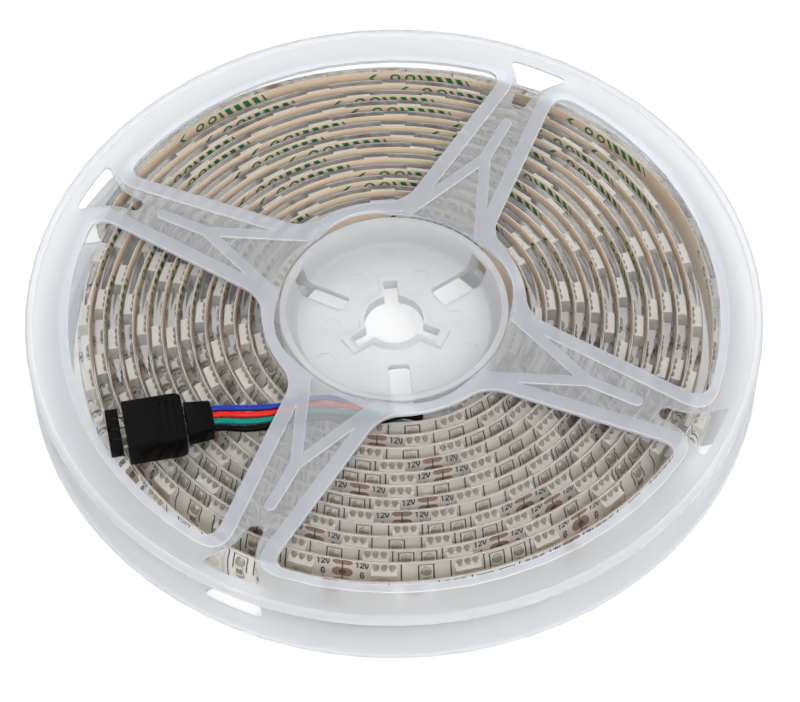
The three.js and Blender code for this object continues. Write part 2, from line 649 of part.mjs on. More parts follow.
place(reel, 'bottom_flange', toGeometry(bottomFlange()), frosted());
place(reel, 'top_flange', toGeometry(topFlange()), frosted());
place(reel, 'led_strip_roll', stripRoll(), material(0xb9b3a8, 0.35));
place(reel, 'release_liner', releaseLiner(), material(0xc7ae94, 0.6));
place(reel, 'solder_sleeve', solderSleeve(), material(0xd8d8d4, 0.3));

const wireColours = { wire_blue: 0x21349b, wire_red: 0xd9201a, wire_green: 0x078a80, wire_black: 0x101010 };
Object.entries(WIRE_ROUTES).forEach(([name, route]) => {
  place(reel, name, wireGeometry(route), material(wireColours[name], 0.4));
});

const socket = new THREE.Group();
const socketCentre = polar(HUB_RADIUS + SOCKET_HUB_DISTANCE, SOCKET_ANGLE);
socket.position.set(socketCentre.x, socketCentre.y, SOCKET_BASE);
socket.rotation.z = degrees(SOCKET_TURN);
place(socket, 'socket_body', socketBody(), black());
place(socket, 'socket_boot', socketBoot(), black());
place(socket, 'header_block', headerBlock(), black());
pinOffsets().forEach((offset, index) => {
  const steel = new THREE.MeshStandardMaterial({ color: 0xd9d6cc, roughness: 0.3, metalness: 1 });
  place(socket, `header_pin_${index + 1}`, headerPin(offset), steel);
});
reel.add(socket);

export default reel;
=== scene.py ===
"""Looks for a reel of coated LED strip light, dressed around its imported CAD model.

The reel lies flat with its axis along +Z. Two frosted flanges hold a spiral of clear-coated
strip light, and a four-wire lead climbs out beside the hub to a black socket. The reel's shapes
are worked out in millimetres and turned into metres when a mesh is made.
"""

import logging
import math
from dataclasses import dataclass, field
from enum import Enum
from functools import cached_property
from typing import Sequence

import bmesh
import bpy
import numpy as np
from mathutils import Matrix

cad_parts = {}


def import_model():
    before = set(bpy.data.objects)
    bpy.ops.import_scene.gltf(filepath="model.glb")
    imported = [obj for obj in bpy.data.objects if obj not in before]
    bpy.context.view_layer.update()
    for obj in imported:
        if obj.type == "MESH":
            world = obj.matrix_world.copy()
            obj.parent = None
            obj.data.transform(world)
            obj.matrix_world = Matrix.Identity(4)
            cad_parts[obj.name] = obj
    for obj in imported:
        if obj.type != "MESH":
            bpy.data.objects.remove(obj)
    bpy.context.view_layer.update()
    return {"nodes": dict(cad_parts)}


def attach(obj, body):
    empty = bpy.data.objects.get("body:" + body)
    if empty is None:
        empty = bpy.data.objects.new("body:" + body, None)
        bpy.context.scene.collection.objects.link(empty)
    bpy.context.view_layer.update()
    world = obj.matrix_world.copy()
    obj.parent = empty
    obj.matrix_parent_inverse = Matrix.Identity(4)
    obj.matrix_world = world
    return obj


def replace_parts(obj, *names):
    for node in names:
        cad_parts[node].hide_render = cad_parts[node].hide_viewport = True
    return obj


LOG = logging.getLogger("reel")
METRES = 0.001
SMOOTH_ANGLE = 35.0
SHELL_SMOOTH_ANGLE = 40.0
BEVEL_ANGLE = 30.0
BEVEL_SEGMENTS = 2
FLAT_ANGLE = 0.5
WELD_DISTANCE = 1e-7
COAT_ROUGHNESS = 0.08
PRINT_HEIGHT = 0.02
ROUND_STEPS = 6
OUT_OF_PRINT = -50.0

Pair = tuple[float, float]
Triple = tuple[float, float, float]
Numbers = Sequence[float]
Socket = bpy.types.NodeSocket
Value = Socket | float


class Graph:
    """Adds shader nodes to one tree and links them."""

    def __init__(self, tree: bpy.types.NodeTree) -> None:
        self.tree = tree

    def add(self, kind: str, **settings: object) -> bpy.types.Node:
        """Adds a node, sets properties on it and returns it."""
        node = self.tree.nodes.new(kind)
        for name, value in settings.items():
            setattr(node, name, value)
        return node

    def feed(self, target: Socket, value: object) -> None:
        """Links a socket to an input, or sets the input to a plain value."""
        if isinstance(value, Socket):
            self.tree.links.new(value, target)
        else:
            target.default_value = value

    def math(self, operation: str, *values: Value) -> Socket:
        """Applies a Math node to sockets or numbers and returns its result."""
        node = self.add("ShaderNodeMath", operation=operation)
        for target, value in zip(node.inputs, values):
            self.feed(target, value)
        return node.outputs[0]

    def near(self, value: Value, centre: Value, reach: Value) -> Socket:
        """Returns a mask that is 1 where a value is within reach of a centre."""
        away = self.math("ABSOLUTE", self.math("SUBTRACT", value, centre))
        return self.math("LESS_THAN", away, reach)

    def both(self, first: Value, second: Value) -> Socket:
        """Returns the overlap of two masks."""
        return self.math("MULTIPLY", first, second)

    def either(self, first: Value, second: Value) -> Socket:
        """Returns the union of two masks."""
        return self.math("MAXIMUM", first, second)

    def blend(self, mask: Value, low: object, high: object) -> Socket:
        """Mixes two colours by a mask and returns the mixed colour."""
        node = self.add("ShaderNodeMix", data_type="RGBA")
        self.feed(node.inputs[0], mask)
        for target, colour in ((node.inputs[6], low), (node.inputs[7], high)):
            self.feed(target, (*colour, 1.0) if isinstance(colour, tuple) else colour)
        return node.outputs[2]


@dataclass(frozen=True)
class Finish:
    """A plain surface finish, whose fields are the values of the shader's own sockets."""

    name: str
    colour: Triple
    roughness: float
    metallic: float = 0.0
    transmission: float = 0.0
    ior: float = 1.5
    coat: float = 0.0

    def material(self) -> bpy.types.Material:
        """Returns the finish's material, made the first time that it is asked for."""
        found = bpy.data.materials.get(self.name)
        if found:
            return found
        made = bpy.data.materials.new(self.name)
        made.use_nodes = True
        shader = made.node_tree.nodes["Principled BSDF"]
        sockets = {
            "Base Color": (*self.colour, 1.0),
            "Roughness": self.roughness,
            "Metallic": self.metallic,
            "Transmission Weight": self.transmission,
            "IOR": self.ior,
            "Coat Weight": self.coat,
            "Coat Roughness": COAT_ROUGHNESS,
        }
        for socket, value in sockets.items():
            shader.inputs[socket].default_value = value
        self.decorate(Graph(made.node_tree), shader)
        return made

    def decorate(self, graph: Graph, shader: bpy.types.Node) -> None:
        """Adds a pattern to the shader. A plain finish has none."""


@dataclass(frozen=True)
class FrostedPlastic(Finish):
    """Frosted plastic that is tinted on the spokes and plain white on the hub and the rim ring.

    The inherited colour and roughness are those of the spokes.

    Attributes:
        plain_colour: the colour of the hub and the rim ring.
        plain_roughness: their roughness.
        hub: the radius in metres inside which the hub is.
        rim: the radii in metres between which the spokes' tint fades into the rim ring.
    """

    plain_colour: Triple = (0.9, 0.915, 0.935)
    plain_roughness: float = 0.5
    hub: float = 0.0242
    rim: Pair = (0.068, 0.0715)

    def decorate(self, graph: Graph, shader: bpy.types.Node) -> None:
        """Links the colour and the roughness to the distance from the axis."""
        place = graph.add("ShaderNodeTexCoord")
        parts = graph.add("ShaderNodeSeparateXYZ")
        graph.feed(parts.inputs[0], place.outputs["Object"])
        across, along, _ = parts.outputs
        squares = [graph.math("POWER", side, 2.0) for side in (across, along)]
        radius = graph.math("SQRT", graph.math("ADD", *squares))
        fade = graph.add("ShaderNodeMapRange", interpolation_type="SMOOTHSTEP")
        graph.feed(fade.inputs["Value"], radius)
        graph.feed(fade.inputs["From Min"], self.rim[0])
        graph.feed(fade.inputs["From Max"], self.rim[1])
        on_hub = graph.math("LESS_THAN", radius, self.hub)
        plain = graph.either(on_hub, fade.outputs["Result"])
        colour = graph.blend(plain, self.colour, self.plain_colour)
        graph.feed(shader.inputs["Base Color"], colour)
        span = graph.math("MULTIPLY", plain, self.plain_roughness - self.roughness)
        graph.feed(shader.inputs["Roughness"], graph.math("ADD", span, self.roughness))


@dataclass(frozen=True)
class PrintedLiner(Finish):
    """Waxed paper with a repeated row of plain marks, laid out in the strip's own millimetres.

    Attributes:
        ink: the colour of the marks.
        period: the distance along the strip after which the marks repeat, in millimetres.
        cut: the colour of the paper's cut edges, darker than the paper as painted shade on the thin
            edge line.
        beyond: a height in the layout that only faces out of the print's reach are below.
    """

    ink: Triple = (0.01, 0.2, 0.07)
    period: float = 47.0
    # Painted shade: the cut edges are a darker brown than the paper's own colour.
    cut: Triple = (0.5, 0.37, 0.3)
    beyond: float = -10.0

    def decorate(self, graph: Graph, shader: bpy.types.Node) -> None:
        """Mixes the ink into the paper's colour where the marks are, and colours the cut edges."""
        place = graph.add("ShaderNodeUVMap", uv_map="strip")
        marks = graph.add("ShaderNodeGroup", node_tree=liner_marks(self.period))
        graph.feed(marks.inputs["Place"], place.outputs["UV"])
        printed = graph.blend(marks.outputs["Mask"], self.colour, self.ink)
        parts = graph.add("ShaderNodeSeparateXYZ")
        graph.feed(parts.inputs[0], place.outputs["UV"])
        # Painted shade on the cut edges: faces out of the print's reach take the darker colour.
        edge = graph.math("LESS_THAN", parts.outputs[1], self.beyond)
        graph.feed(shader.inputs["Base Color"], graph.blend(edge, printed, self.cut))


def liner_marks(period: float) -> bpy.types.NodeTree:
    """Builds the shared node group of the liner's marks.

    Args:
        period: the distance along the strip after which the marks repeat, in millimetres.

    Returns:
        A group that takes a place on the strip, along and up in millimetres, and gives a mask:
        a row of slanted bars, two rings and a chevron, repeated along the strip.
    """
    name = "liner marks"
    if name in bpy.data.node_groups:
        return bpy.data.node_groups[name]
    tree = bpy.data.node_groups.new(name, "ShaderNodeTree")
    tree.interface.new_socket("Place", in_out="INPUT", socket_type="NodeSocketVector")
    tree.interface.new_socket("Mask", in_out="OUTPUT", socket_type="NodeSocketFloat")
    graph = Graph(tree)
    given = graph.add("NodeGroupInput")
    result = graph.add("NodeGroupOutput")
    parts = graph.add("ShaderNodeSeparateXYZ")
    graph.feed(parts.inputs[0], given.outputs["Place"])
    along = graph.math("WRAP", parts.outputs[0], period, 0.0)
    height = parts.outputs[1]
    middle, half = 8.1, 1.15
    row = graph.near(height, middle, half)

    lean, bar_pitch, bar_middle, bar_half = -0.45, 2.3, 1.0, 0.66
    bars_middle, bars_half = 4.6, 5.7
    slant = graph.math("ADD", along, graph.math("MULTIPLY", height, lean))
    bars = graph.near(graph.math("WRAP", slant, bar_pitch, 0.0), bar_middle, bar_half)
    mask = graph.both(graph.both(bars, row), graph.near(slant, bars_middle, bars_half))

    ring_places, ring_square, ring_band = (16.0, 19.4), 0.9, 0.5
    rise = graph.math("POWER", graph.math("SUBTRACT", height, middle), 2.0)
    for centre in ring_places:
        across = graph.math("POWER", graph.math("SUBTRACT", along, centre), 2.0)
        ring = graph.math("ADD", across, rise)
        mask = graph.either(mask, graph.near(ring, ring_square, ring_band))

    chevron_place, chevron_half = 25.0, 0.45
    fold = graph.math("ABSOLUTE", graph.math("SUBTRACT", height, middle))
    chevron = graph.near(graph.math("ADD", along, fold), chevron_place, chevron_half)
    mask = graph.either(mask, graph.both(chevron, row))
    graph.feed(result.inputs["Mask"], mask)
    return tree


class Look(Enum):
    """Every finish on the reel."""

    FLANGE = FrostedPlastic("frosted flange", (0.84, 0.88, 0.96), 0.36, transmission=0.66, ior=1.45)
    WEB = FrostedPlastic("thin frosted web", (0.95, 0.965, 0.99), 0.22, transmission=0.83, ior=1.45)
    # Painted highlight: opaque white on the bevelled edges of the flanges' raised borders, so that
    # they show as bright lines.
    PAINTED_HIGHLIGHT_EDGE = Finish("painted highlight on moulded edge", (1.0, 1.0, 1.0), 0.3, ior=1.5, coat=1.0)
    SILICONE = Finish("clear silicone", (1.0, 0.99, 0.98), 0.12, transmission=0.94, ior=1.25)
    LINER = PrintedLiner("release liner", (0.9, 0.72, 0.53), 0.42, coat=0.3)
    BOARD = Finish("white board", (0.97, 0.945, 0.9), 0.4)
    COPPER = Finish("copper pad", (0.34, 0.15, 0.085), 0.4)
    INK = Finish("black print", (0.008, 0.008, 0.008), 0.5, ior=1.2)
    PACKAGE = Finish("LED package", (0.78, 0.765, 0.725), 0.3)
    LENS = Finish("LED resin", (0.66, 0.63, 0.5), 0.12, coat=0.5)
    TIN = Finish("tinned contact", (0.34, 0.29, 0.23), 0.3, metallic=0.3)
    SOLDER = Finish("dull solder", (0.36, 0.32, 0.255), 0.4, metallic=0.25)
    CHIP = Finish("resistor body", (0.24, 0.2, 0.16), 0.4)
    SLEEVE = Finish("clear sleeve", (0.92, 0.92, 0.9), 0.12, transmission=0.9, ior=1.4)
    BLUE = Finish("blue insulation", (0.008, 0.036, 0.34), 0.25, ior=1.3)
    RED = Finish("red insulation", (0.8, 0.011, 0.004), 0.25, ior=1.3)
    GREEN = Finish("green insulation", (0.0, 0.24, 0.2), 0.25, ior=1.25)
    BLACK = Finish("black insulation", (0.002, 0.002, 0.002), 0.3, ior=1.15)
    HOUSING = Finish("black housing", (0.0018, 0.0018, 0.002), 0.25, ior=1.15)
    PIN = Finish("plated pin", (0.3, 0.28, 0.24), 0.35, metallic=0.8)


@dataclass
class Surface:
    """A mesh being worked out.

    Attributes:
        points: one row per vertex, in millimetres.
        faces: the vertex numbers of each face.
        places: one row per face corner, the strip's own coordinates in millimetres, or None.
    """

    points: np.ndarray
    faces: list[Sequence[int]]
    places: np.ndarray | None = None

    @staticmethod
    def block(size: Numbers, centre: Numbers) -> "Surface":
        """Returns a box of a size about a centre."""
        signs = np.array([[x, y, z] for z in (-1, 1) for y in (-1, 1) for x in (-1, 1)], float)
        faces = [
            (0, 2, 3, 1), (4, 5, 7, 6), (0, 1, 5, 4), (2, 6, 7, 3), (0, 4, 6, 2), (1, 3, 7, 5),
        ]
        return Surface(signs * np.array(size) / 2 + np.array(centre), faces)

    @staticmethod
    def plate(outline: np.ndarray, depth: float, centre: Numbers) -> "Surface":
        """Returns a flat plate that faces along +Y, closed on all sides.

        Args:
            outline: one row of x and z per corner.
            depth: the plate's thickness.
            centre: where the outline's own zero is.
        """
        sides = len(outline)
        ring = np.stack([outline[:, 0], np.zeros(sides), outline[:, 1]], axis=1)
        points = np.vstack([ring, ring + np.array([0.0, depth, 0.0])]) + np.array(centre)
        faces: list[Sequence[int]] = [tuple(range(sides)), tuple(reversed(range(sides, 2 * sides)))]
        for side in range(sides):
            after = (side + 1) % sides
            faces.append((side, side + sides, after + sides, after))
        return Surface(points, faces)

    @staticmethod
    def disc(radius: float, depth: float, centre: Numbers, sides: int = 16) -> "Surface":
        """Returns a flat round plate that faces along +Y."""
        angles = np.arange(sides) * 2 * np.pi / sides
        outline = np.stack([radius * np.cos(angles), radius * np.sin(angles)], axis=1)
        return Surface.plate(outline, depth, centre)

    @staticmethod
    def stadium(
        length: float, height: float, depth: float, centre: Numbers, steps: int = 6
    ) -> "Surface":
        """Returns a flat plate with round ends that faces along +Y."""
        radius = height / 2
        straight = length / 2 - radius
        turns = np.linspace(-np.pi / 2, np.pi / 2, steps)
        right = np.stack([straight + radius * np.cos(turns), radius * np.sin(turns)], axis=1)
        return Surface.plate(np.vstack([right, -right]), depth, centre)

    @staticmethod
    def blob(
        size: Numbers, centre: Numbers, rings: int = 3, sides: int = 8
    ) -> "Surface":
        """Returns a bead of solder: half an ellipsoid that bulges along +Y, open at its back."""
        points, faces, tip = [], [], rings * sides
        for ring in range(rings):
            lean = ring / rings * math.pi / 2
            flat, low, high = math.cos(lean), ring * sides, (ring + 1) * sides
            for side in range(sides):
                turn, after = side * 2 * math.pi / sides, (side + 1) % sides
                points.append((flat * math.cos(turn), math.sin(lean), flat * math.sin(turn)))
                if high < tip:
                    faces.append((low + side, high + side, high + after, low + after))
                else:
                    faces.append((low + side, tip, low + after))
        points.append((0.0, 1.0, 0.0))
        scale = np.array([size[0] / 2, size[1], size[2] / 2])
        return Surface(np.array(points) * scale + np.array(centre), faces)

    @staticmethod
    def stroke(
        start: Numbers, end: Numbers, width: float, raise_by: float = PRINT_HEIGHT
    ) -> "Surface":
        """Returns a flat printed line between two points of the XZ plane, facing along +Y."""
        begin, finish = np.array(start, float), np.array(end, float)
        along = (finish - begin) / np.linalg.norm(finish - begin)
        side = np.array([-along[1], along[0]]) * width / 2
        reach = along * width / 2
        near, far = begin - reach, finish + reach
        flat = [near - side, near + side, far + side, far - side]
        return Surface(np.array([[x, raise_by, z] for x, z in flat]), [(0, 1, 2, 3)])

    @staticmethod
    def merged(parts: Sequence["Surface"]) -> "Surface":
        """Joins several surfaces into one, without welding them."""
        points = np.vstack([part.points for part in parts])
        faces: list[Sequence[int]] = []
        start = 0
        for part in parts:
            faces.extend(tuple(start + corner for corner in face) for face in part.faces)
            start += len(part.points)
        return Surface(points, faces)

    def repeated(self, frames: np.ndarray, origins: np.ndarray) -> "Surface":
        """Copies the surface into many places.

        Args:
            frames: one 3 by 3 matrix per copy, whose rows are the copy's own x, y and z axes. They
                are left-handed, so each face is turned round.
            origins: one point per copy, in millimetres.

        Returns:
            One surface that holds every copy.
        """
        points = np.einsum("pi,nij->npj", self.points, frames) + origins[:, None, :]
        count = len(self.points)
        turned = [tuple(reversed(face)) for face in self.faces]
        faces = [
            tuple(copy * count + corner for corner in face)
            for copy in range(len(frames))
            for face in turned
        ]
        return Surface(points.reshape(-1, 3), faces)

    def piece(self, name: str, look: Look, slot: str = "coated_strip") -> bpy.types.Object:
        """Makes a Blender object of the surface.

        Args:
            name: the object's name.
            look: its finish.
            slot: not used.

        Returns:
            The object, linked to the scene and riding on the reel.
        """
        mesh = bpy.data.meshes.new(name)
        mesh.from_pydata((self.points * METRES).tolist(), [], self.faces)
        if self.places is not None:
            layer = mesh.uv_layers.new(name="strip")
            layer.data.foreach_set("uv", self.places.astype(np.float32).ravel())
        mesh.validate()
        made = finished(mesh, name, look, SMOOTH_ANGLE)
        return made


def placed(name: str, data: bpy.types.ID) -> bpy.types.Object:
    """Makes an object of some data and links it to the scene."""
    made = bpy.data.objects.new(name, data)
    bpy.context.scene.collection.objects.link(made)
    return made


def finished(mesh: bpy.types.Mesh, name: str, look: Look, crease: float) -> bpy.types.Object:
    """Shades a mesh smooth up to a crease angle and makes it a piece that rides on the reel."""
    mesh.shade_smooth()
    mesh.set_sharp_from_angle(angle=math.radians(crease))
    mesh.materials.clear()
    mesh.materials.append(look.value.material())
    made = placed(name, mesh)
    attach(made, "root")
    return made


def softened(node: bpy.types.Object, look: Look, width: float) -> bpy.types.Object:
    """Makes a copy of a CAD node with rounded edges that stands for it.

    Args:
        node: the CAD node's object.
        look: the copy's finish.
        width: how far each sharp edge is cut back, in millimetres.

    Returns:
        The new piece.
    """
    mesh = node.data.copy()
    shape = bmesh.new()
    shape.from_mesh(mesh)
    bmesh.ops.remove_doubles(shape, verts=shape.verts, dist=WELD_DISTANCE)
    flat = math.radians(FLAT_ANGLE)
    bmesh.ops.dissolve_limit(shape, angle_limit=flat, verts=shape.verts, edges=shape.edges)
    limit = math.radians(BEVEL_ANGLE)
    sharp = [edge for edge in shape.edges if edge.is_manifold and edge.calc_face_angle(0.0) > limit]
    bmesh.ops.bevel(
        shape, geom=sharp, affect="EDGES", offset=width * METRES, offset_type="OFFSET",
        segments=BEVEL_SEGMENTS, profile=0.5, clamp_overlap=True,
    )
    bmesh.ops.triangulate(shape, faces=[face for face in shape.faces if len(face.verts) > 4])
    shape.to_mesh(mesh)
    shape.free()
    made = finished(mesh, node.name + "_shell", look, SHELL_SMOOTH_ANGLE)
    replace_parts(made, node.name)
    return made


Line = tuple[Pair, ...]
LETTERS: dict[str, tuple[Line, ...]] = {
    "1": (((0.1, 0.8), (0.5, 1), (0.5, 0)),),
    "2": (((0, 0.8), (0.3, 1), (0.8, 1), (1, 0.75), (0.9, 0.5), (0, 0), (1, 0)),),
    "V": (((0, 1), (0.1, 0.3), (0.5, 0), (0.9, 0.3), (1, 1)),),
    "G": (
        ((1, 0.8), (0.6, 1), (0.2, 0.9), (0, 0.5), (0.2, 0.1), (0.6, 0), (1, 0.2), (1, 0.5),
         (0.6, 0.5)),
    ),
    "R": (
        ((0, 0), (0, 1), (0.8, 1), (1, 0.75), (0.8, 0.5), (0, 0.5)),
        ((0.5, 0.5), (1, 0)),
    ),
    "B": (
        ((0, 0), (0, 1), (0.8, 1), (0.95, 0.75), (0.8, 0.5), (0, 0.5)),
        ((0.8, 0.5), (1, 0.25), (0.8, 0), (0, 0)),
    ),
}


@dataclass(frozen=True)
class Spiral:
    """The path that the strip is wound along, in millimetres and degrees.

    Attributes:
        start_radius: the liner's inner radius at the inner end.
        start_angle: the angle of the inner end.
        pitch: how far the path moves outward in one turn.
        turns: the number of full turns.
        end_angle: the angle of the outer end.
        board_offset: how far outward from the path lengths are measured.
        free_angle: how far into the last turn it begins to come loose.
        free_ramp: the angle over which it comes loose.
        stand_off: how far the loose turn stands off all round.
        bulges: the middle, width and height of each bulge of the loose turn.
        steps_per_degree: how finely the path's length is measured.
    """

    start_radius: float = 25.2
    start_angle: float = 296.0
    pitch: float = 3.04
    turns: int = 13
    end_angle: float = 157.0
    board_offset: float = 0.8
    free_angle: float = 25.0
    free_ramp: float = 55.0
    stand_off: float = 0.5
    bulges: tuple[Triple, ...] = (
        (245, 35, 1.4), (335, 35, 1.2), (25, 18, 1.2), (122, 18, 0.8),
    )
    steps_per_degree: int = 2

    @property
    def sweep(self) -> float:
        """The whole angle that the path turns through."""
        return self.turns * 360 + (self.end_angle - self.start_angle) % 360

    def looseness(self, angle: np.ndarray) -> np.ndarray:
        """Returns how far the last turn stands off the roll: a smooth onset times soft bulges."""
        since_end = self.start_angle + self.sweep - angle
        ramp = np.clip((360 - since_end - self.free_angle) / self.free_ramp, 0, 1)
        onset = ramp * ramp * (3 - 2 * ramp)
        total = np.full_like(angle, self.stand_off)
        for centre, width, height in self.bulges:
            apart = (angle - centre + 180) % 360 - 180
            total = total + height * np.exp(-((apart / width) ** 2))
        return onset * total

    def radius(self, angle: np.ndarray) -> np.ndarray:
        """Returns the liner's inner radius: it grows by one pitch a turn, plus the looseness."""
        wound = self.pitch * (angle - self.start_angle) / 360
        return self.start_radius + wound + self.looseness(angle)

    @cached_property
    def walk(self) -> tuple[np.ndarray, np.ndarray]:
        """Angles along the path and the distances walked up to them."""
        count = int(self.sweep) * self.steps_per_degree + 1
        angles = self.start_angle + np.linspace(0.0, self.sweep, count)
        radii = self.radius(angles) + self.board_offset
        turn = np.radians(angles)
        path = np.stack([radii * np.cos(turn), radii * np.sin(turn)], axis=1)
        steps = np.linalg.norm(np.diff(path, axis=0), axis=1)
        return angles, np.concatenate([[0.0], np.cumsum(steps)])

    @property
    def length(self) -> float:
        """The strip's length along the path."""
        return float(self.walk[1][-1])

    def angle_at(self, along: np.ndarray) -> np.ndarray:
        """Returns the path's angle at distances along it."""
        return np.interp(along, *reversed(self.walk))

    def frames(self, angle: np.ndarray) -> tuple[np.ndarray, np.ndarray, np.ndarray]:
        """Returns points on the path, and the directions along it and outward, at some angles."""
        step = 0.05

        def point(at: np.ndarray) -> np.ndarray:
            turn = np.radians(at)
            reach = self.radius(at)
            return np.stack([reach * np.cos(turn), reach * np.sin(turn), np.zeros_like(at)], axis=1)

        along = point(angle + step) - point(angle - step)
        along /= np.linalg.norm(along, axis=1, keepdims=True)
        outward = np.stack([along[:, 1], -along[:, 0], np.zeros(len(angle))], axis=1)
        return point(angle), along, outward


@dataclass
class Roll:
    """The wound strip: liner, board with its parts, and the clear coating around them.

    Distances outward are from the path, and heights from the strip's lower edge.

    Attributes:
        spiral: the path that the strip is wound along.
        base: the height of the strip's lower edge.
        width: the strip's upright width.
        liner_thickness: the liner's thickness.
        coating_start: where the coating's flat back is.
        coating_edge: how far out the coating reaches at the strip's edges.
        coating_crest: how far out it reaches in the middle.
        shoulder: the height over which it is rounded at each edge.
        board_start: where the board's back is.
        board_thickness: the board's thickness.
        board_margin: how far the board's edges are inside the strip's.
        station: the angle between two cross-sections.
        led_pitch: the distance between two LEDs.
        led_phase: the first LED's distance from the inner end.
        led_size: an LED's length and height.
        led_depth: how far it stands off the board.
        led_rise: how far its middle is above the strip's.
        group: the number of LEDs between two cuts.
        line_width: the width of the printed lines.
        resistor_gaps: the resistors' places in a group, in LED pitches from its first LED.
    """

    spiral: Spiral = field(default_factory=Spiral)
    base: float = 1.55
    width: float = 9.8
    liner_thickness: float = 0.09
    coating_start: float = 0.15
    coating_edge: float = 1.3
    coating_crest: float = 2.68
    shoulder: float = 3.1
    board_start: float = 0.19
    board_thickness: float = 0.1
    board_margin: float = 0.12
    station: float = 2.5
    led_pitch: float = 50 / 3
    led_phase: float = 5.0
    led_size: float = 5.2
    led_depth: float = 1.5
    led_rise: float = 0.2
    group: int = 3
    line_width: float = 0.28
    resistor_gaps: tuple[float, ...] = (0.5, 1.365, 1.64)

    def ribbon(self, profile: Sequence[Pair]) -> Surface:
        """Sweeps a closed profile along the spiral.

        Args:
            profile: points as distance outward from the path and height above the strip's lower
                edge, counter-clockwise when seen along the path with outward to the right.

        Returns:
            A closed surface. A corner's place is its distance along the strip and its height.
            Corners of faces that don't look inward are shifted down, out of the print's reach.
        """
        outline = np.array(profile, float)
        count = int(self.spiral.sweep / self.station) + 1
        angles = self.spiral.start_angle + np.linspace(0.0, self.spiral.sweep, count)
        points, _, outward = self.spiral.frames(angles)
        rise = np.array([0.0, 0.0, 1.0])
        grid = points[:, None, :] + outward[:, None, :] * outline[None, :, :1]
        grid = grid + rise * (outline[None, :, 1:] + self.base)
        sides = len(outline)
        station, side = np.meshgrid(np.arange(count - 1), np.arange(sides), indexing="ij")
        after = (side + 1) % sides
        corners = ((station, side), (station + 1, side), (station + 1, after), (station, after))
        quads = np.stack([row * sides + column for row, column in corners], axis=-1)
        walked = np.interp(angles, *self.spiral.walk)
        heights = outline[:, 1]
        innermost = outline[:, 0] == outline[:, 0].min()
        shift = np.where(innermost[side] & innermost[after], 0.0, OUT_OF_PRINT)
        places = [
            np.stack([walked[row], heights[column] + shift], axis=-1) for row, column in corners
        ]
        caps = [tuple(range(sides)), tuple((count - 1) * sides + np.arange(sides)[::-1])]
        faces = [tuple(int(corner) for corner in face) for face in (*quads.reshape(-1, 4), *caps)]
        layout = [np.stack(places, axis=2).reshape(-1, 2), np.full((2 * sides, 2), OUT_OF_PRINT)]
        return Surface(grid.reshape(-1, 3), faces, np.vstack(layout))

    @staticmethod
    def rectangle(start: float, thickness: float, low: float, high: float) -> list[Pair]:
        """Returns the profile of a plain band."""
        end = start + thickness
        return [(start, low), (end, low), (end, high), (start, high)]

    def coating_profile(self) -> list[Pair]:
        """Returns the coating's profile: flat behind, and rounded outward at each edge."""
        start, edge, crest = self.coating_start, self.coating_edge, self.coating_crest
        upper = []
        for step in range(ROUND_STEPS + 1):
            turn = step / ROUND_STEPS * math.pi / 2
            drop = self.shoulder * (1 - math.sin(turn))
            upper.append((edge + (crest - edge) * math.cos(turn), self.width - drop))
        lower = [(outward, self.width - height) for outward, height in reversed(upper)]
        return [(start, 0.0), *lower, *upper, (start, self.width)]

    @cached_property
    def led_places(self) -> np.ndarray:
        """The distances of the LEDs along the strip, none within 4 mm of its end."""
        return np.arange(self.led_phase, self.spiral.length - 4, self.led_pitch)

    def build(self) -> None:
        """Makes every piece of the roll."""
        liner = self.ribbon(self.rectangle(0.0, self.liner_thickness, 0.0, self.width))
        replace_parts(liner.piece("liner_paper", Look.LINER, "liner"), "release_liner")
        coating = self.ribbon(self.coating_profile()).piece("silicone_coating", Look.SILICONE)
        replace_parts(coating, "led_strip_roll")
        low, high = self.board_margin, self.width - self.board_margin
        board = self.ribbon(self.rectangle(self.board_start, self.board_thickness, low, high))
        board.piece("flexible_board", Look.BOARD)
        self.build_leds()
        self.build_pads()
        self.build_resistors()

    def lay(self, name: str, look: Look, parts: Sequence[Surface], along: np.ndarray) -> None:
        """Copies small parts onto the board's face and makes all the copies one piece.

        Args:
            name: the piece's name.
            look: its finish.
            parts: the parts, laid out along, outward and up from the middle of the face.
            along: the distances along the strip at which they are repeated.
        """
        points, forward, outward = self.spiral.frames(self.spiral.angle_at(along))
        rise = np.tile(np.array([0.0, 0.0, 1.0]), (len(along), 1))
        frames = np.stack([forward, outward, rise], axis=1)
        face = self.board_start + self.board_thickness
        origins = points + outward * face + rise * (self.base + self.width / 2)
        Surface.merged(parts).repeated(frames, origins).piece(name, look)

    def build_leds(self) -> None:
        """Places the LEDs, each with six soldered contacts, and the lines printed beside them."""
        leds = self.led_places
        size, depth, rise = self.led_size, self.led_depth, self.led_rise
        gap, window_radius, window_depth = 0.05, size * 0.39, 0.03
        package = Surface.block((size, depth, size), (0.0, depth / 2 + gap, rise))
        self.lay("led_packages", Look.PACKAGE, [package], leds)
        lens = Surface.disc(window_radius, window_depth, (0.0, depth + gap, rise))
        self.lay("led_windows", Look.LENS, [lens], leds)

        left, right, chip_width, chip_height = -0.9, -0.6, 0.35, depth + 0.1
        chips = [
            Surface.stroke((left, rise + row), (right, rise + row), chip_width, chip_height)
            for row in (0.1, 0.9, -0.7)
        ]
        self.lay("led_chips", Look.CHIP, chips, leds)

        reach, column = size / 2 + 0.45, 1.6
        centres = [
            (along, 0.02, rise + row * reach) for along in (-column, 0.0, column) for row in (-1, 1)
        ]
        contacts = [Surface.blob((1.3, 0.6, 1.8), centre) for centre in centres]
        self.lay("led_contacts", Look.TIN, contacts, leds)
        # Solder lands behind the contacts, painted package white as a highlight ring around each
        # contact.
        highlight_lands = [Surface.block((1.6, 0.04, 2.1), centre) for centre in centres]
        self.lay("led_lands_painted_highlight", Look.PACKAGE, highlight_lands, leds)
        self.build_lines()

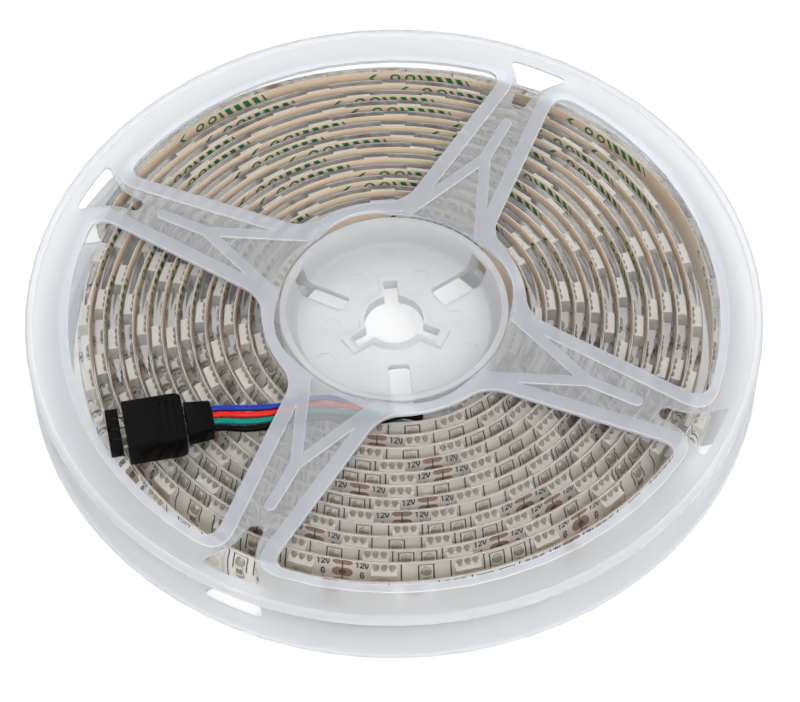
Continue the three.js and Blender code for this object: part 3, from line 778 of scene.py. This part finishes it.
    def build_lines(self) -> None:
        """Prints a line on each side of an LED that has another LED of its group there."""
        reach, low, high = 3.35, -4.2, 4.4
        before, after = (
            Surface.stroke((side, low), (side, high), self.line_width) for side in (-reach, reach)
        )
        order = np.arange(len(self.led_places)) % self.group
        for name, place, lines in (
            ("printed_lines", 1, [before, after]),
            ("printed_lines_first", 0, [after]),
            ("printed_lines_last", 2, [before]),
        ):
            self.lay(name, Look.INK, lines, self.led_places[order == place])

    def build_pads(self) -> None:
        """Places the copper pads and their labels at each cut line, midway between two groups."""
        first = self.led_phase + (self.group - 0.5) * self.led_pitch
        cuts = np.arange(first, self.spiral.length - 6, self.group * self.led_pitch)
        rows = (-3.8, -1.3, 1.25, 3.8)
        pads = [Surface.stadium(4.2, 1.9, 0.04, (0.0, 0.0, row)) for row in rows]
        self.lay("copper_pads", Look.COPPER, pads, cuts)
        dots = [Surface.blob((1.6, 0.25, 1.0), (0.0, 0.03, row + 0.1)) for row in rows[:3]]
        self.lay("pad_holes", Look.INK, dots, cuts)
        cut_width, cut_height = 0.26, 0.07
        strokes = [Surface.stroke((0.0, -4.6), (0.0, 4.2), cut_width, cut_height)]
        side, drop = 3.9, 0.3
        for centre in (-side, side):
            for text, row in zip(("B", "R", "G", "12V"), rows):
                strokes.extend(self.label(text, centre, row - drop))
        self.lay("pad_labels", Look.INK, strokes, cuts)

    def label(self, text: str, centre: float, height: float) -> list[Surface]:
        """Returns the printed strokes of a pad's label.

        Args:
            text: letters that are in LETTERS.
            centre: the label's middle along the strip, in millimetres.
            height: its middle above the strip's middle.
        """
        wide, tall, step, thick = 0.62, 1.5, 0.92, 0.27
        start = centre - (len(text) - 1) * step / 2 - wide / 2
        strokes = []
        for index, letter in enumerate(text):
            for line in LETTERS[letter]:
                spots = [
                    (start + index * step + x * wide, height + (z - 0.5) * tall) for x, z in line
                ]
                strokes.extend(Surface.stroke(a, b, thick) for a, b in zip(spots, spots[1:]))
        return strokes

    def build_resistors(self) -> None:
        """Places three chip resistors in each group, each inside a printed bracket."""
        end = self.spiral.length - 3.4 * self.led_pitch
        groups = np.arange(self.led_phase, end, self.group * self.led_pitch)
        spots = np.concatenate([groups + gap * self.led_pitch for gap in self.resistor_gaps])
        body = Surface.block((1.3, 0.5, 2.6), (0.0, 0.3, 0.0))
        self.lay("resistor_bodies", Look.CHIP, [body], spots)
        ends = [Surface.blob((2.3, 0.6, 2.2), (0.0, 0.0, row * 1.8)) for row in (-1, 1)]
        tips = [Surface.block((1.7, 0.75, 0.5), (0.0, 0.375, row * 1.15)) for row in (-1, 1)]
        self.lay("resistor_tips", Look.PACKAGE, tips, spots)
        self.lay("resistor_ends", Look.SOLDER, ends, spots)
        side, top = 1.5, 3.6
        corners = ((-side, 0.0), (-side, top), (side, top), (side, 0.0))
        bracket = [
            Surface.stroke(begin, end, self.line_width) for begin, end in zip(corners, corners[1:])
        ]
        self.lay("resistor_brackets", Look.INK, bracket, spots)


@dataclass
class Wire:
    """One insulated wire of the lead.

    Attributes:
        node: the CAD node that it stands for.
        look: the colour of its insulation.
        route: the points that it follows, each as its distance from the hub's wall in millimetres,
            its angle about the axis in degrees and its height in millimetres.
        diameter: its outer diameter.
        fineness: the number of straight pieces between two points of the route.
        hub_radius: the radius of the hub's wall.
    """

    node: str
    look: Look
    route: Sequence[Triple]
    diameter: float = 1.3
    fineness: int = 6
    hub_radius: float = 24.0

    def centreline(self) -> np.ndarray:
        """Returns the route rounded into a smooth line.

        Each stretch is a cubic that passes through its two ends. The slope at a point is that of
        the parabola through it and its neighbours, with distances taken to the power of one half.
        """
        distance, angle, height = np.array(self.route, float).T
        reach, turn = self.hub_radius + distance, np.radians(angle)
        given = np.stack([reach * np.cos(turn), reach * np.sin(turn), height], axis=1)
        padded = np.vstack([2 * given[0] - given[1], given, 2 * given[-1] - given[-2]])
        line = []
        for before, start, end, after in zip(padded, padded[1:], padded[2:], padded[3:]):
            gaps = (start - before, end - start, after - end)
            behind, span, ahead = (math.sqrt(np.linalg.norm(gap)) for gap in gaps)
            slope = (end - start) / span
            leave = (start - before) / behind - (end - before) / (behind + span) + slope
            arrive = slope - (after - start) / (span + ahead) + (after - end) / ahead
            leave, arrive = leave * span, arrive * span
            for step in range(self.fineness):
                part = step / self.fineness
                line.append(
                    (2 * part**3 - 3 * part**2 + 1) * start
                    + (part**3 - 2 * part**2 + part) * leave
                    + (3 * part**2 - 2 * part**3) * end
                    + (part**3 - part**2) * arrive
                )
        line.append(given[-1])
        return np.array(line) * METRES

    def build(self) -> tuple[bpy.types.Object, np.ndarray]:
        """Makes the wire as a round curve and returns it with its centreline in metres."""
        line = self.centreline()
        data = bpy.data.curves.new(self.node + "_insulation", "CURVE")
        data.dimensions = "3D"
        data.bevel_depth = self.diameter / 2 * METRES
        data.bevel_resolution = 4
        data.use_fill_caps = True
        spline = data.splines.new("POLY")
        spline.points.add(len(line) - 1)
        flat = np.hstack([line, np.ones((len(line), 1))]).astype(np.float32)
        spline.points.foreach_set("co", flat.ravel())
        spline.use_smooth = True
        data.materials.append(self.look.value.material())
        made = placed(data.name, data)
        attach(made, "root")
        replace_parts(made, self.node)
        return made, line


ROUTES: dict[str, tuple[Look, Sequence[Triple]]] = {
    "wire_blue": (Look.BLUE, [
        (2.65, 282.1, 2.9), (2.59, 277.8, 3), (2.24, 273.1, 3.5), (1.78, 267.3, 4.6),
        (1.42, 260.9, 6.2), (1.34, 254, 8.2), (1.42, 247.3, 10.1), (1.81, 241.8, 11.4),
        (2.95, 237.2, 12.02),
        (4.92, 232.5, 12.08), (6.86, 229.6, 12.08), (8.93, 226.9, 12.08), (10.93, 224.3, 12.08),
        (12.97, 221.7, 12.08), (15.05, 219.3, 12.2), (17.14, 217.6, 12.75), (19.07, 216.6, 13.6),
        (20.66, 215.8, 14.2), (21.79, 215.2, 14.4),
    ]),
    "wire_red": (Look.RED, [
        (2.65, 282.1, 5.3), (2.64, 277.8, 5.4), (2.38, 272.6, 6), (2.15, 266.5, 7.3),
        (2.12, 260.3, 9), (2.15, 254.5, 10.7), (2.5, 249.7, 11.75), (3.11, 245.1, 12.08),
        (4.25, 239.3, 12.08),
        (6.13, 234.3, 12.08), (8.02, 231.3, 12.08), (10.04, 228.6, 12.08), (12.03, 226.1, 12.08),
        (14.09, 223.6, 12.08), (16.15, 221.2, 12.2), (18.2, 219.4, 12.75), (19.96, 218.3, 13.6),
        (21.42, 217.6, 14.2), (22.48, 217, 14.4),
    ]),
    "wire_green": (Look.GREEN, [
        (2.65, 282.1, 7.8), (2.69, 277.8, 8.1), (2.65, 273.4, 8.9), (2.76, 268.7, 10.3),
        (2.98, 264.5, 11.5), (3.14, 260.2, 12.05), (3.61, 254.5, 12.08), (4.52, 247.5, 12.08),
        (5.63, 240.9, 12.08), (7.44, 236, 12.08), (9.28, 233.1, 12.08), (11.22, 230.3, 12.08),
        (13.17, 227.7, 12.08), (15.24, 225.3, 12.08), (17.29, 223, 12.2), (19.23, 221.2, 12.75),
        (20.85, 220.1, 13.6), (22.18, 219.4, 14.2), (23.22, 218.8, 14.4),
    ]),
    "wire_black": (Look.BLACK, [
        (2.65, 282.1, 10.2), (2.65, 279.1, 10.35), (2.65, 276, 11.1), (2.98, 272.5, 11.95),
        (3.82, 267.9, 12.08), (4.58, 262, 12.08), (5.11, 255.3, 12.08), (5.91, 248.6, 12.08),
        (7.04, 242.4, 12.08), (8.78, 237.5, 12.08), (10.53, 234.6, 12.08), (12.43, 231.9, 12.08),
        (14.36, 229.3, 12.08), (16.43, 227, 12.08), (18.46, 224.7, 12.2), (20.26, 222.9, 12.75),
        (21.75, 221.8, 13.6), (22.96, 221.1, 14.2), (23.99, 220.4, 14.4),
    ]),
}


@dataclass
class Lead:
    """The four wires, the sleeve that they leave and the socket that they end in.

    Attributes:
        nodes: the CAD nodes by name.
        sleeve_edge: how far the sleeve's edges are cut back, in millimetres.
        ends: the nodes at the wires' end, each with its finish and how far its edges are cut back.
    """

    nodes: dict[str, bpy.types.Object]
    sleeve_edge: float = 0.5
    ends: tuple[tuple[str, Look, float], ...] = (
        ("socket_body", Look.HOUSING, 0.22),
        ("socket_boot", Look.HOUSING, 0.4),
        ("header_block", Look.HOUSING, 0.1),
        *((f"header_pin_{pin}", Look.PIN, 0.08) for pin in range(1, 5)),
    )

    def build(self) -> None:
        """Makes the lead: the sleeve, the socket's pieces and the four wires."""
        softened(self.nodes["solder_sleeve"], Look.SLEEVE, self.sleeve_edge)
        ends = [softened(self.nodes[name], look, width) for name, look, width in self.ends]
        for name, (look, route) in ROUTES.items():
            wire = Wire(name, look, route)
            made, line = wire.build()


@dataclass
class Flanges:
    """The two moulded flanges, the lower one with the hub.

    Attributes:
        nodes: the CAD nodes by name.
        edge: how far sharp edges are cut back, in millimetres.
        low: the height under which the lower flange's raised borders are.
        high: the height over which the upper flange's raised borders are.
        hub: the radius inside which all is hub.
        rim: the radius outside which all is the plain rim ring.
        level: the least upright part of a level face's normal.
        slanted: the least and greatest upright part of an edge's normal.
    """

    nodes: dict[str, bpy.types.Object]
    edge: float = 0.3
    low: float = 0.6
    high: float = 13.6
    hub: float = 25.1
    rim: float = 71.5
    level: float = 0.9
    slanted: Pair = (0.15, 0.97)

    def build(self) -> None:
        """Makes both flanges with softened edges."""
        for name in ("top_flange", "bottom_flange"):
            self.thin_out(softened(self.nodes[name], Look.FLANGE, self.edge).data)

    def thin_out(self, mesh: bpy.types.Mesh) -> None:
        """Gives the thin webs and the borders' edges their own finishes.

        A face is web where it is level, lies between the heights of the raised borders and is
        outside the hub. It gets the painted highlight, opaque white, where it is a slanted part of
        a cut-back edge at their height, between the hub and the rim ring.
        """
        mesh.materials.append(Look.WEB.value.material())
        mesh.materials.append(Look.PAINTED_HIGHLIGHT_EDGE.value.material())
        centres, normals = np.empty((2, 3 * len(mesh.polygons)))
        mesh.polygons.foreach_get("center", centres)
        mesh.polygons.foreach_get("normal", normals)
        centres = centres.reshape(-1, 3) / METRES
        lean = np.abs(normals.reshape(-1, 3)[:, 2])
        height = centres[:, 2]
        between = (height > self.low) & (height < self.high)
        radius = np.hypot(centres[:, 0], centres[:, 1])
        outside = radius > self.hub
        web = (lean > self.level) & between & outside
        least, greatest = self.slanted
        slanted = (lean > least) & (lean < greatest)
        # The slanted faces of the borders' cut-back edges get the painted highlight.
        painted_highlight_faces = slanted & ~between & outside & (radius < self.rim)
        slots = web.astype(np.int32) + 2 * painted_highlight_faces.astype(np.int32)
        mesh.polygons.foreach_set("material_index", slots)


@dataclass
class Studio:
    """A white sweep, soft light and the camera at the photograph's viewing angle.

    Attributes:
        camera_back: the camera's place along Y, in metres.
        camera_height: its height in metres.
        tilt: its tilt from straight down, in degrees.
        roll: its turn about its own axis, in degrees.
        lens: its focal length on a sensor 36 mm wide.
        shift: its sideways shift, in sensor widths.
        floor_size: the floor's width in metres.
        floor_drop: how far it is below the reel, in metres.
        floor_glow: how brightly it shows by itself.
        world_light: the surround's strength as light.
        world_extra: how much brighter it is as background.
        lamp_size: each lamp's width in metres.
        lamps: each lamp's name, place in metres and power in watts.
    """

    camera_back: float = -0.35931
    camera_height: float = 0.49458
    tilt: float = 35.851
    roll: float = -0.672
    lens: float = 129.2
    shift: float = 0.00698
    floor_size: float = 3.0
    floor_drop: float = 0.0003
    floor_glow: float = 0.26
    world_light: float = 0.75
    world_extra: float = 0.25
    lamp_size: float = 0.9
    lamps: tuple[tuple[str, Triple, float], ...] = (
        ("key", (-0.5, 0.5, 1.0), 1.5),
        ("fill", (0.4, -0.8, 0.9), 7.5),
    )

    def build(self) -> None:
        """Makes the floor, world, lamps and camera."""
        self.build_floor()
        self.build_world()
        for name, place, power in self.lamps:
            self.build_lamp(name, place, power)
        self.build_camera()

    @staticmethod
    def white_for_view(graph: Graph) -> Socket:
        """Returns 1 for rays that show the background: seen, mirrored or through glass."""
        path = graph.add("ShaderNodeLightPath")
        seen = graph.either(path.outputs["Is Camera Ray"], path.outputs["Is Glossy Ray"])
        return graph.either(seen, path.outputs["Is Transmission Ray"])

    def build_floor(self) -> None:
        """Makes the floor just under the reel, white to the eye but still showing shadow."""
        half, low = self.floor_size / 2, -self.floor_drop
        corners = [(-half, -half, low), (half, -half, low), (half, half, low), (-half, half, low)]
        mesh = bpy.data.meshes.new("floor")
        mesh.from_pydata(corners, [], [(0, 1, 2, 3)])
        material = bpy.data.materials.new("floor")
        material.use_nodes = True
        graph = Graph(material.node_tree)
        shader = material.node_tree.nodes["Principled BSDF"]
        shader.inputs["Base Color"].default_value = (0.95, 0.95, 0.95, 1.0)
        shader.inputs["Roughness"].default_value = 0.9
        shader.inputs["Specular IOR Level"].default_value = 0.0
        shader.inputs["Emission Color"].default_value = (1.0, 1.0, 1.0, 1.0)
        glow = graph.math("MULTIPLY", self.white_for_view(graph), self.floor_glow)
        graph.feed(shader.inputs["Emission Strength"], glow)
        mesh.materials.append(material)
        floor = placed("floor", mesh)

    def build_world(self) -> None:
        """Makes a soft white surround, a little dimmer as light than as background."""
        world = bpy.data.worlds.new("studio")
        world.use_nodes = True
        graph = Graph(world.node_tree)
        background = world.node_tree.nodes["Background"]
        background.inputs["Color"].default_value = (1.0, 1.0, 1.0, 1.0)
        extra = graph.math("MULTIPLY", self.white_for_view(graph), self.world_extra)
        graph.feed(background.inputs["Strength"], graph.math("ADD", extra, self.world_light))
        bpy.context.scene.world = world

    def build_lamp(self, name: str, place: Numbers, power: float) -> None:
        """Hangs a square lamp that faces the origin."""
        data = bpy.data.lights.new(name, "AREA")
        data.size = self.lamp_size
        data.energy = power
        lamp = placed(name, data)
        lamp.location = place
        lamp.rotation_euler = (-lamp.location).to_track_quat("-Z", "Y").to_euler()

    def build_camera(self) -> None:
        """Places the camera found from the photograph's ellipses."""
        data = bpy.data.cameras.new("camera")
        data.lens = self.lens
        data.sensor_width = 36.0
        data.shift_x = self.shift
        data.clip_start = 0.01
        camera = placed("camera", data)
        tilt = Matrix.Rotation(math.radians(self.tilt), 4, "X")
        roll = Matrix.Rotation(math.radians(self.roll), 4, "Z")
        place = Matrix.Translation((0.0, self.camera_back, self.camera_height))
        camera.matrix_world = place @ tilt @ roll
        bpy.context.scene.camera = camera


def main() -> None:
    """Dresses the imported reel."""
    logging.basicConfig(level=logging.INFO, format="%(name)s: %(message)s")
    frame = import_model()
    nodes = frame["nodes"]
    Studio().build()
    Lead(nodes).build()
    Flanges(nodes).build()
    Roll().build()
    bpy.context.scene.view_settings.view_transform = "Standard"
    LOG.info("the reel is dressed")


if __name__ == "__main__":
    main()
